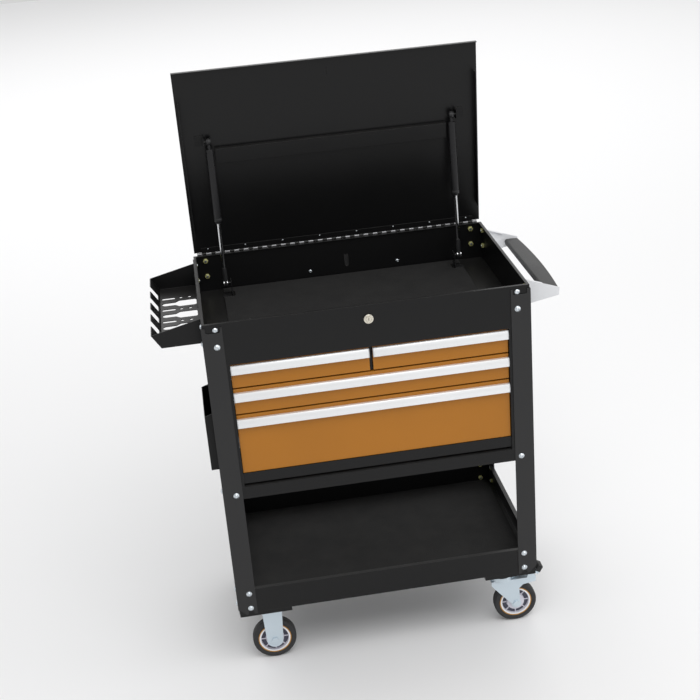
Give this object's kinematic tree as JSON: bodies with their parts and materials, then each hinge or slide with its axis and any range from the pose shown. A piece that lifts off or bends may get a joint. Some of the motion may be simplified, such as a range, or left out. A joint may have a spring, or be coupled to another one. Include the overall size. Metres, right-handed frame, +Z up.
{
  "type": "rolling tool chest",
  "caption": "Lidded top tray on four angle posts with strut-held lid, drawers with full-width pulls, open lower shelf, side racks, push handle, and rigid and swivel casters.",
  "frame": {"origin": "on the ground, under the centre of the whole cart's bounding box with the lid open", "axes": "+X towards the push handle, -Y towards the drawer fronts, +Z up"},
  "size_m": [1.129, 0.569, 1.6682],
  "materials": {
    "post_paint": "satin powder coat, dark grey",
    "panel_paint": "satin powder coat, near black",
    "lid_paint": "satin powder coat, dark grey",
    "liner": "matt fine-grain foam",
    "zinc": "bright zinc",
    "yellow_zinc": "yellow zinc",
    "silver_paint": "light silver paint",
    "grip": "moulded grip",
    "lock_metal": "nickel on brass",
    "strut_rod": "polished",
    "strut_barrel": "semi-gloss black",
    "drawer_paint": "satin orange powder coat",
    "pull_silver": "satin anodised",
    "caster_zinc": "bright zinc, bluish",
    "hub": "pale grey moulding",
    "tyre": "matt, dark grey"
  },
  "bodies": {
    "cart": {"post_front_left": "post_paint", "post_front_right": "post_paint", "post_rear_left": "post_paint", "post_rear_right": "post_paint", "compartment_shell": "panel_paint", "compartment_floor": "panel_paint", "floor_liner": "liner", "drawer_housing": "panel_paint", "drawer_divider": "panel_paint", "cabinet_rails": "panel_paint", "pliers_rack": "panel_paint", "side_bin": "panel_paint", "bottom_tray": "panel_paint", "tray_liner": "liner", "caster_channels": "panel_paint", "frame_bolts": "zinc", "frame_nuts": "yellow_zinc", "tool_rack": "panel_paint", "handle_bracket": "silver_paint", "handle_grip": "grip", "lock_housing": "lock_metal", "hinge_leaf_lower": "panel_paint", "hinge_pin": "panel_paint", "strut_mounts_lower": "panel_paint", "cabinet_runners": "zinc", "rigid_forks": "caster_zinc", "swivel_plates": "caster_zinc"},
    "lid": {"lid_pan": "lid_paint", "lid_reinforcement": "panel_paint", "hinge_leaf_upper": "panel_paint"},
    "lock": {"lock_plug": "lock_metal"},
    "strut_rod_l": {"strut_rod_left": "strut_rod"},
    "strut_rod_r": {"strut_rod_right": "strut_rod"},
    "strut_barrel_l": {"strut_barrel_left": "strut_barrel"},
    "strut_barrel_r": {"strut_barrel_right": "strut_barrel"},
    "drawer_top_left": {"drawer_top_left_box": "drawer_paint", "drawer_top_left_front": "drawer_paint", "drawer_top_left_pull": "pull_silver"},
    "drawer_top_right": {"drawer_top_right_box": "drawer_paint", "drawer_top_right_front": "drawer_paint", "drawer_top_right_pull": "pull_silver"},
    "drawer_middle": {"drawer_middle_box": "drawer_paint", "drawer_middle_front": "drawer_paint", "drawer_middle_pull": "pull_silver"},
    "drawer_bottom": {"drawer_bottom_box": "drawer_paint", "drawer_bottom_front": "drawer_paint", "drawer_bottom_pull": "pull_silver"},
    "wheel_left_front": {"wheel_hub_front_left": "hub", "wheel_tyre_front_left": "tyre"},
    "swivel_front": {"swivel_fork_front": "caster_zinc"},
    "wheel_right_front": {"wheel_hub_front_right": "hub", "wheel_tyre_front_right": "tyre"},
    "pedal_front": {"brake_pedal_front": "caster_zinc"},
    "wheel_left_rear": {"wheel_hub_rear_left": "hub", "wheel_tyre_rear_left": "tyre"},
    "swivel_rear": {"swivel_fork_rear": "caster_zinc"},
    "wheel_right_rear": {"wheel_hub_rear_right": "hub", "wheel_tyre_rear_right": "tyre"},
    "pedal_rear": {"brake_pedal_rear": "caster_zinc"}
  },
  "joints": [
    {"name": "lid_hinge", "type": "hinge", "parent": "cart", "child": "lid", "pos_m": [0.013, 0.28, 1.11], "axis": [1, 0, 0], "range_deg": [0, 85.2]},
    {"name": "strut_swing_l", "type": "hinge", "parent": "cart", "child": "strut_rod_l", "pos_m": [-0.343, 0.214, 1.034], "axis": [1, 0, 0], "range_deg": [0, 81.12]},
    {"name": "strut_stroke_l", "type": "slide", "parent": "strut_rod_l", "child": "strut_barrel_l", "axis": [0, 0.0428, 0.9991], "range_m": [-0.134, 0]},
    {"name": "strut_swing_r", "type": "hinge", "parent": "cart", "child": "strut_rod_r", "pos_m": [0.369, 0.214, 1.034], "axis": [1, 0, 0], "range_deg": [0, 81.12]},
    {"name": "strut_stroke_r", "type": "slide", "parent": "strut_rod_r", "child": "strut_barrel_r", "axis": [0, 0.0428, 0.9991], "range_m": [-0.134, 0]},
    {"name": "lock_turn", "type": "hinge", "parent": "cart", "child": "lock", "pos_m": [0.013, -0.2775, 1.069], "axis": [0, 1, 0], "range_deg": [0, 90]},
    {"name": "drawer_top_left_slide", "type": "slide", "parent": "cart", "child": "drawer_top_left", "axis": [0, -1, 0], "range_m": [0, 0.4]},
    {"name": "drawer_top_right_slide", "type": "slide", "parent": "cart", "child": "drawer_top_right", "axis": [0, -1, 0], "range_m": [0, 0.4]},
    {"name": "drawer_middle_slide", "type": "slide", "parent": "cart", "child": "drawer_middle", "axis": [0, -1, 0], "range_m": [0, 0.4]},
    {"name": "drawer_bottom_slide", "type": "slide", "parent": "cart", "child": "drawer_bottom", "axis": [0, -1, 0], "range_m": [0, 0.4]},
    {"name": "roll_left_front", "type": "hinge", "parent": "cart", "child": "wheel_left_front", "pos_m": [-0.335, -0.223, 0.065], "axis": [0, 1, 0], "continuous": true},
    {"name": "swivel_turn_front", "type": "hinge", "parent": "cart", "child": "swivel_front", "pos_m": [0.361, -0.223, 0.16], "axis": [0, 0, 1], "continuous": true},
    {"name": "roll_right_front", "type": "hinge", "parent": "swivel_front", "child": "wheel_right_front", "pos_m": [0.401, -0.223, 0.065], "axis": [0, 1, 0], "continuous": true},
    {"name": "brake_press_front", "type": "hinge", "parent": "swivel_front", "child": "pedal_front", "pos_m": [0.447, -0.223, 0.156], "axis": [0, 1, 0], "range_deg": [0, 9]},
    {"name": "roll_left_rear", "type": "hinge", "parent": "cart", "child": "wheel_left_rear", "pos_m": [-0.335, 0.221, 0.065], "axis": [0, 1, 0], "continuous": true},
    {"name": "swivel_turn_rear", "type": "hinge", "parent": "cart", "child": "swivel_rear", "pos_m": [0.361, 0.221, 0.16], "axis": [0, 0, 1], "continuous": true},
    {"name": "roll_right_rear", "type": "hinge", "parent": "swivel_rear", "child": "wheel_right_rear", "pos_m": [0.401, 0.221, 0.065], "axis": [0, 1, 0], "continuous": true},
    {"name": "brake_press_rear", "type": "hinge", "parent": "swivel_rear", "child": "pedal_rear", "pos_m": [0.447, 0.221, 0.156], "axis": [0, 1, 0], "range_deg": [0, 9]}
  ],
  "couplings": [
    {"joint": "strut_swing_l", "follows": "lid_hinge", "ratio": 0.95195},
    {"joint": "strut_stroke_l", "follows": "lid_hinge", "m_per_rad": -0.090032},
    {"joint": "strut_swing_r", "follows": "lid_hinge", "ratio": 0.95195},
    {"joint": "strut_stroke_r", "follows": "lid_hinge", "m_per_rad": -0.090032}
  ]
}
